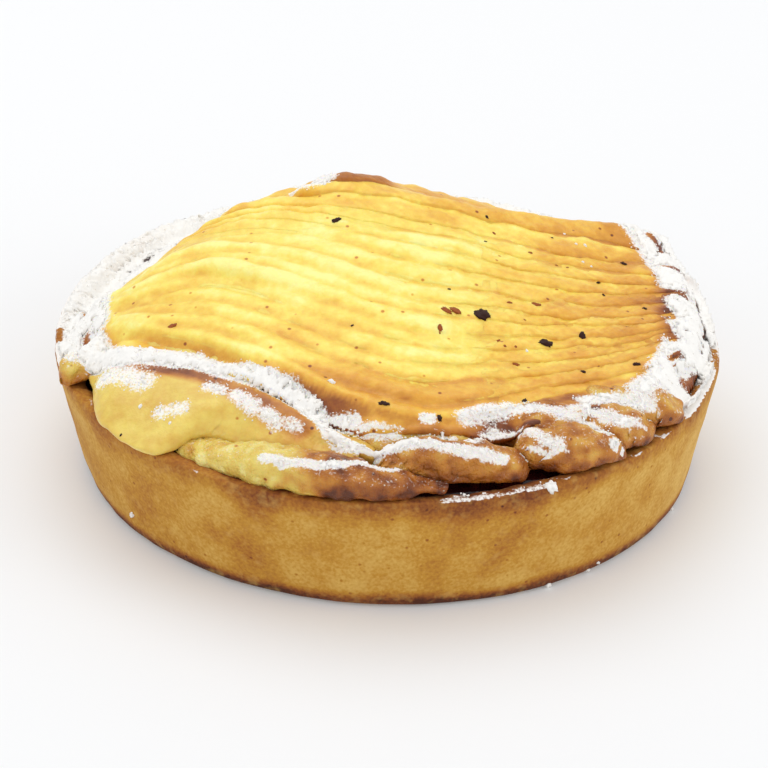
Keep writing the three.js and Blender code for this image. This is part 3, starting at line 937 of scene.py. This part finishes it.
def pulp_bake_and_shade(points, gap, ridge):
    """How far the pulp is baked, with painted shade: darker in the filled gaps and the grooves and lighter on
    the ridges, which is painted shade of its relief; browner at the front and close to the rim.
    """
    x, y, _ = points.T / MM
    # Lighter on the ridges, darker in the grooves and in the filled gaps: painted shade
    bake_and_painted_shade = 0.12 + mottle(points) - 0.24 * ridge + 0.14 * gap * smooth(x, -30, -10)
    right_and_rear = 0.18 * smooth(x, 8, 38) + 0.06 * smooth(x, 0, 14) + 0.08 * smooth(y, 4, 24)
    left_side = 0.12 * smooth(x, -20, -42) + 0.14 * smooth(y, -4, -22) * smooth(x, 4, -12)
    front_edge = smooth(y, -24, -36) * (0.38 + 0.2 * smooth(x, 6, 16))
    by_rim = 0.45 * smooth(np.hypot(x - RIM_CENTRE_X / MM, y), 41, 44)
    return bake_and_painted_shade + right_and_rear + left_side + front_edge + by_rim


def make_pulp(material, ridges):
    """Soft pulp that cooked out of the slices: it fills the gaps between them and lies on them as a film."""
    across, along = sugar_grid()
    heights = height_map(across, along)
    closed = heaped(-largest(-largest(heights, PULP_REACH), PULP_REACH))
    inside = np.hypot(across - RIM_CENTRE_X, along) < PULP_EDGE * RIM_RADIUS
    inside &= along / MM > np.interp(across / MM, *zip(*PULP_FRONT))
    low = np.maximum(smooth(across, -4 * MM, 30 * MM), smooth(along, 0, 12 * MM))
    sink = PULP_SINK[0] + (PULP_SINK[1] - PULP_SINK[0]) * low
    sink += STEP_CLEAR * smooth(along, 3 * MM, 9 * MM) * smooth(across, -8 * MM, -14 * MM)
    there = (largest((closed - heights > sink).astype(float), 2) > 0) & inside
    bumps = 0.7 * grid_lumps(3.4 * MM, 96, (0.6, 1, 1)) + 0.5 * grid_lumps(1.8 * MM, 97, (0.7, 1, 1))
    top = np.minimum(blurred(closed, 1), closed) - sink
    top += (PULP_BUMP * bumps + RIDGE_SHARE * ridges) * (1 - low)
    pulp = closed_sheet("apple_pulp", top, top - PULP_THICK, there, PULP_FALL, 0)
    soften(pulp, PULP_SOFTENING)
    points = points_of(pulp)
    # Depth of the filled gaps and height of the ridges, for the painted shade in the pulp's colour
    gap = smooth(sample(closed - heights, SUGAR_STEP, points), 0.05 * MM, 0.5 * MM)
    ridge = sample(ridges, SUGAR_STEP, points) / RIDGE_LIMIT
    set_share(pulp, "bake_and_painted_shade", pulp_bake_and_shade(points, gap, ridge))
    dress(pulp, [], material)
    return pulp, np.where(there, closed - heights, 0)


def to_path(across, along, path):
    """Each cell's distance in plan, in millimetres, to a path."""
    nearest = np.full(across.shape, np.inf)
    for (x0, y0), (x1, y1) in zip(path, path[1:]):
        length = (x1 - x0) ** 2 + (y1 - y0) ** 2
        share = ((across / MM - x0) * (x1 - x0) + (along / MM - y0) * (y1 - y0)) / length
        share = np.clip(share, 0, 1)
        off = np.hypot(across / MM - x0 - share * (x1 - x0), along / MM - y0 - share * (y1 - y0))
        nearest = np.minimum(nearest, off)
    return nearest


def sifted(across, along, step):
    """How much sugar lies on each cell: 1 is a full cover. Some slid down to the foot of each step."""
    out = np.hypot(across - RIM_CENTRE_X, along) / RIM_RADIUS
    foot = smooth(step, *FOOT_STEP) * smooth(out, *FOOT_INSIDE)
    amount = np.maximum(1.35 * smooth(out, *RING_INSIDE), 2.3 * foot)
    amount *= in_ring(across, along)
    for path, half_width, thickness in SUGAR_STROKES:
        near = 1 - smooth(to_path(across, along, path), 0.15 * half_width, 1.45 * half_width)
        amount = np.maximum(amount, thickness * near)
    for path, half_width in SUGAR_BARE:
        amount *= 0.15 + 0.85 * smooth(to_path(across, along, path), 0.2 * half_width, 2.4 * half_width)
    return amount


def cells_of(there, heights, fall):
    """The grid's cells whose corners are all there and fall no further, as numbers of those corners."""
    number = np.full(there.shape, -1)
    number[there] = np.arange(there.sum())
    around = [number[:-1, :-1], number[:-1, 1:], number[1:, 1:], number[1:, :-1]]
    corners = np.stack(around, -1).reshape(-1, 4)
    corners = corners[(corners >= 0).all(1)]
    return corners[np.ptp(heights[there][corners], axis=1) < fall]


def closed_sheet(name, top, bottom, there, fall, stray):
    """A closed thin solid between two height maps. Its corners stray from the grid by a share of its step."""
    across, along, top_z, low_z = (grid[there] for grid in (*sugar_grid(), top, bottom))
    draw = np.random.default_rng(11)
    wander = draw.uniform(-stray, stray, (2, len(across))) * SUGAR_STEP
    upper = np.column_stack([across + wander[0], along + wander[1], top_z])
    lower = np.column_stack([across + wander[0], along + wander[1], low_z])
    corners = cells_of(there, top, fall)
    sides = np.column_stack([corners.ravel(), np.roll(corners, -1, 1).ravel()])
    known = set(map(tuple, sides.tolist()))
    border = np.array([side for side in known if side[::-1] not in known])
    count = len(upper)
    walls = np.column_stack([border[:, 1], border[:, 0], border[:, 0] + count, border[:, 1] + count])
    faces = np.concatenate([corners, corners[:, ::-1] + count, walls])
    mesh = bpy.data.meshes.new(name)
    mesh.from_pydata(np.concatenate([upper, lower]), [], faces.tolist())
    bm = bmesh.new()
    bm.from_mesh(mesh)
    bmesh.ops.delete(bm, geom=[v for v in bm.verts if not v.link_faces], context="VERTS")
    bm.to_mesh(mesh)
    bm.free()
    mesh.shade_smooth()
    return link(name, mesh)


def grain_tree(material):
    """Scatters uneven grains over a surface, as thickly as its density attribute says."""
    tree = bpy.data.node_groups.new("sugar_grains", "GeometryNodeTree")
    tree.interface.new_socket("Geometry", in_out="OUTPUT", socket_type="NodeSocketGeometry")
    tree.interface.new_socket("Geometry", in_out="INPUT", socket_type="NodeSocketGeometry")
    for name in GRAIN_INPUTS:
        kind = "NodeSocketInt" if name == "Seed" else "NodeSocketFloat"
        tree.interface.new_socket(name, in_out="INPUT", socket_type=kind)
    given = add_node(tree, "NodeGroupInput").outputs
    share = add_node(tree, "GeometryNodeInputNamedAttribute", {"Name": "density"}, data_type="FLOAT")
    count = add_node(
        tree,
        "ShaderNodeMath",
        {0: share.outputs[0], 1: given["Grains per square metre"]},
        operation="MULTIPLY",
    )
    spots = add_node(
        tree,
        "GeometryNodeDistributePointsOnFaces",
        {"Mesh": given["Geometry"], "Density": count.outputs[0], "Seed": given["Seed"]},
    )
    grain = add_node(tree, "GeometryNodeMeshIcoSphere", {"Radius": 1.0, "Subdivisions": 1})
    size = add_node(
        tree,
        "FunctionNodeRandomValue",
        {0: given["Smallest"], 1: given["Largest"], "Seed": given["Seed"]},
        data_type="FLOAT_VECTOR",
    )
    turn = add_node(
        tree, "FunctionNodeRandomValue", {0: (0, 0, 0), 1: (6.3, 6.3, 6.3)}, data_type="FLOAT_VECTOR"
    )
    grains = add_node(
        tree,
        "GeometryNodeInstanceOnPoints",
        {
            "Points": spots.outputs["Points"],
            "Instance": grain.outputs["Mesh"],
            "Rotation": turn.outputs[0],
            "Scale": size.outputs[0],
        },
    )
    real = add_node(tree, "GeometryNodeRealizeInstances", {"Geometry": grains.outputs[0]})
    dressed = add_node(tree, "GeometryNodeSetMaterial", {"Geometry": real.outputs[0], "Material": material})
    add_node(tree, "NodeGroupOutput", {"Geometry": dressed.outputs[0]})
    return tree


def make_grains(name, ground, density, material, sizes):
    """Loose grains of sugar on the ground, as a plain mesh."""
    there = density > 0.01
    across, along = sugar_grid()
    places = np.column_stack([across[there], along[there], ground[there]])
    mesh = bpy.data.meshes.new(name + "_ground")
    mesh.from_pydata(places, [], cells_of(there, ground, SUGAR_FALL).tolist())
    layer = mesh.attributes.new("density", "FLOAT", "POINT")
    layer.data.foreach_set("value", density[there].astype(np.float32))
    carrier = link(name + "_ground", mesh)
    scatter = carrier.modifiers.new("scatter", "NODES")
    scatter.node_group = grain_tree(material)
    for item in scatter.node_group.interface.items_tree:
        if item.in_out == "INPUT" and item.name in sizes:
            scatter[item.identifier] = sizes[item.name]
    made = plain_copy(carrier, name)
    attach(made, BODY)


def make_sugar(material, pieces, filled):
    """Icing sugar, sifted on: heaped where it lies thick, loose at the fringes, and dust on the pieces."""
    across, along = sugar_grid()
    heights = height_map(across, along)
    over_case = heights > 0.6 * CASE_HEIGHT
    heights = np.where(over_case, heights, largest(np.where(over_case, heights, 0), 8))
    drifts = grid_lumps(6 * MM, 59)
    clumps = grid_lumps(2.4 * MM, 60)
    crumbs = grid_lumps(0.85 * MM, 61)
    motes = grid_lumps(0.45 * MM, 62)
    banked = heaped(heights)
    amount = sifted(across, along, banked - heights + filled)
    on_tart = -largest(-over_case.astype(float), 1) > 0
    patches = 0.4 * clumps + 0.65 * crumbs + 0.75 * motes
    cover = amount * (1 + 0.4 * drifts) + patches - SUGAR_LEAST
    fill = blurred(smooth(cover, -0.1, 0.4), 3)
    settled = fill * (1 - RIGHT_BARE * smooth(across, 0.66 * RIM_RADIUS, 0.8 * RIM_RADIUS))
    lying = blurred(heights + (banked - heights) * settled, 2)
    slope = np.hypot(*np.gradient(lying, SUGAR_STEP))
    cover = cover - 1.5 * smooth(slope, *SUGAR_STEEP)
    there = (cover > 0) & on_tart
    thickness = 0.04 + 0.4 * np.clip(cover, 0, 1.2) + fill * (0.2 * clumps + 0.16 * crumbs + 0.1 * motes)
    top = lying + thickness * MM
    bottom = top - SUGAR_SINK - thickness * MM
    powder = closed_sheet("icing_sugar_heaped", top, bottom, there, SUGAR_FALL, SUGAR_STRAY)
    dress(powder, [], material)
    gentle = on_tart * (1 - smooth(slope, *SUGAR_STEEP))
    fringe = smooth(amount, 0.12, 0.5) * (1 - 0.85 * smooth(cover, 0.1, 0.5)) * gentle
    ground = np.where(there, top, heights)
    make_grains("icing_sugar_grains", ground, fringe, material, FINE_GRAINS)
    thick = smooth(amount, 0.4, 0.8) * (1 - 0.7 * smooth(cover, 0.2, 0.6)) * gentle
    make_grains("icing_sugar_clumps", ground, thick, material, CLUMPS)
    dust_pieces(pieces, heights, amount)


def dust_pieces(pieces, heights, amount):
    """Fine sugar on whatever faces up and lies on top."""
    for piece in pieces:
        points = points_of(piece)
        near_top = smooth(sample(heights, SUGAR_STEP, points) - points[:, 2], 1.2 * MM, 0.3 * MM)
        facing_up = smooth(normals_of(piece)[:, 2], 0.1, 0.65)
        dust = sample(amount, SUGAR_STEP, points) * near_top
        if piece.name.startswith(SLID_PREFIX):
            dust = np.maximum(dust, FRONT_DUST)
        set_share(piece, "dust", dust * facing_up)


# SPECKS AND CRUMBS


def hit(start, way):
    """The first point of the tart that lies this way, and the way its surface faces there."""
    graph = bpy.context.evaluated_depsgraph_get()
    _, place, normal, *_ = bpy.context.scene.ray_cast(graph, start, way)
    return place, normal


def make_bits(name, bits, material):
    """Small uneven lumps that sit on the surface under them, joined to one mesh."""
    bm = bmesh.new()
    for number, (place, normal, size) in enumerate(bits):
        turn = Vector(normal).to_track_quat("Z", "X").to_matrix()
        grown = bmesh.ops.create_icosphere(bm, subdivisions=3, radius=1.0)["verts"]
        for v in grown:
            way = v.co + Vector((number * 3.1, 0, 0))
            rough = 1 + 0.45 * noise.noise(way * 1.3) + 0.5 * noise.noise(way * 2.7)
            v.co = turn @ (v.co * rough * Vector(size)) + place
    mesh = bpy.data.meshes.new(name)
    bm.to_mesh(mesh)
    bm.free()
    mesh.shade_smooth()
    dress(link(name, mesh), [], material)


def make_specks(burnt, rust, sugar):
    draw = np.random.default_rng(8)

    def on_top(spots, flatness):
        made = []
        for x, y, half in spots:
            place, normal = hit((x * MM, y * MM, ABOVE), DOWN)
            long = half * draw.uniform(0.85, 1.3)
            wide = half * draw.uniform(0.6, 0.9)
            made.append((place, normal, [long * MM, wide * MM, flatness * half * MM]))
        return made

    make_bits("burnt_specks", on_top(BURNT_SPECKS, 0.4), burnt)
    make_bits("rust_specks", on_top(RUST_SPECKS, 0.25), rust)
    crumbs = on_top(SUGAR_LUMPS, 0.8)
    for degrees, height, half in WALL_CRUMBS:
        angle = math.radians(degrees)
        out = Vector((math.cos(angle), math.sin(angle), 0))
        place, normal = hit(out * 2 * RIM_RADIUS + Vector((0, 0, height * MM)), -out)
        crumbs.append((place, normal, [half * MM] * 3))
    middle, half_size = SUGAR_UNDER
    crumbs.append((Vector(middle) * MM, -DOWN, [half * MM for half in half_size]))
    make_bits("icing_sugar_crumbs", crumbs, sugar)


def main():
    camera()
    studio()
    floor()
    case = make_case(shortcrust())
    make_jam(jam())
    dry = baked_apple("dry_baked_apple", DRY_FLESH, 0.2 * MM, 0.4)
    # The end slice and the slid slices take the darker ramp: painted shade of slices that face the front
    moist = baked_apple("moist_baked_apple_painted_shade", SHADED_FLESH, 0.15 * MM, 0.28)
    browned = baked_apple("browned_baked_apple_painted_shade", SHADED_FLESH, 0.9 * MM, 0.34)
    slices, ridges = make_slices(dry, moist, browned)
    pulp, filled = make_pulp(dry, ridges)
    sugar = icing_sugar()
    make_sugar(sugar, [case, *slices, pulp], filled)
    make_specks(burnt_sugar("burnt_sugar", "33150c"), burnt_sugar("scorched_apple", "9a4f1d"), sugar)


main()
